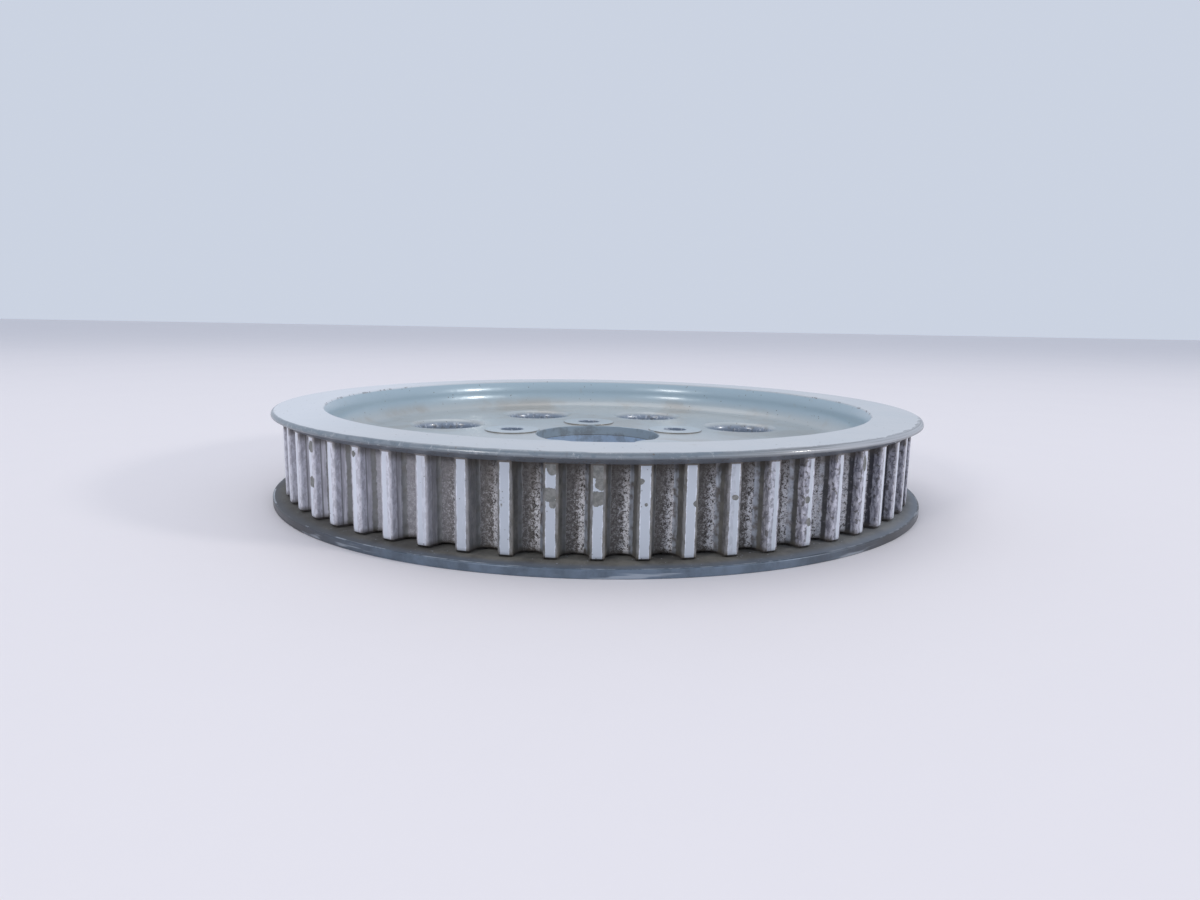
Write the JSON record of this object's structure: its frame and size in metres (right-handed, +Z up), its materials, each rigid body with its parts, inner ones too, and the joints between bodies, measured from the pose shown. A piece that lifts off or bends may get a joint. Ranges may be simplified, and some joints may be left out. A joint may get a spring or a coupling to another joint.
{
  "type": "timing belt pulley",
  "caption": "Dished cast rear-wheel pulley for a wide toothed belt, with an integral upper flange, a screwed-on lower flange ring and a bolt-on hub.",
  "frame": {"origin": "centre of the plane that the pulley lies on, which is the lower flange ring's underside", "axes": "+Z up along the pulley's axis, from the lower flange ring to the dished face; +Y to the back, with the first bolt hole 6.5 degrees to its left"},
  "size_m": [0.279, 0.279, 0.0371],
  "materials": {
    "cast_aluminium": "silver-grey painted casting, worn to bright metal on the lands and chipped at the edges",
    "flange_ring": "dull dark steel with brown belt dust on its sloping face",
    "screw_steel": "dull dark steel"
  },
  "bodies": {
    "root": {"pulley_casting": "cast_aluminium", "lower_flange_ring": "flange_ring", "flange_screw_01": "screw_steel", "flange_screw_02": "screw_steel", "flange_screw_03": "screw_steel", "flange_screw_04": "screw_steel", "flange_screw_05": "screw_steel", "flange_screw_06": "screw_steel", "flange_screw_07": "screw_steel", "flange_screw_08": "screw_steel", "flange_screw_09": "screw_steel", "flange_screw_10": "screw_steel", "flange_screw_11": "screw_steel", "flange_screw_12": "screw_steel"}
  },
  "joints": []
}
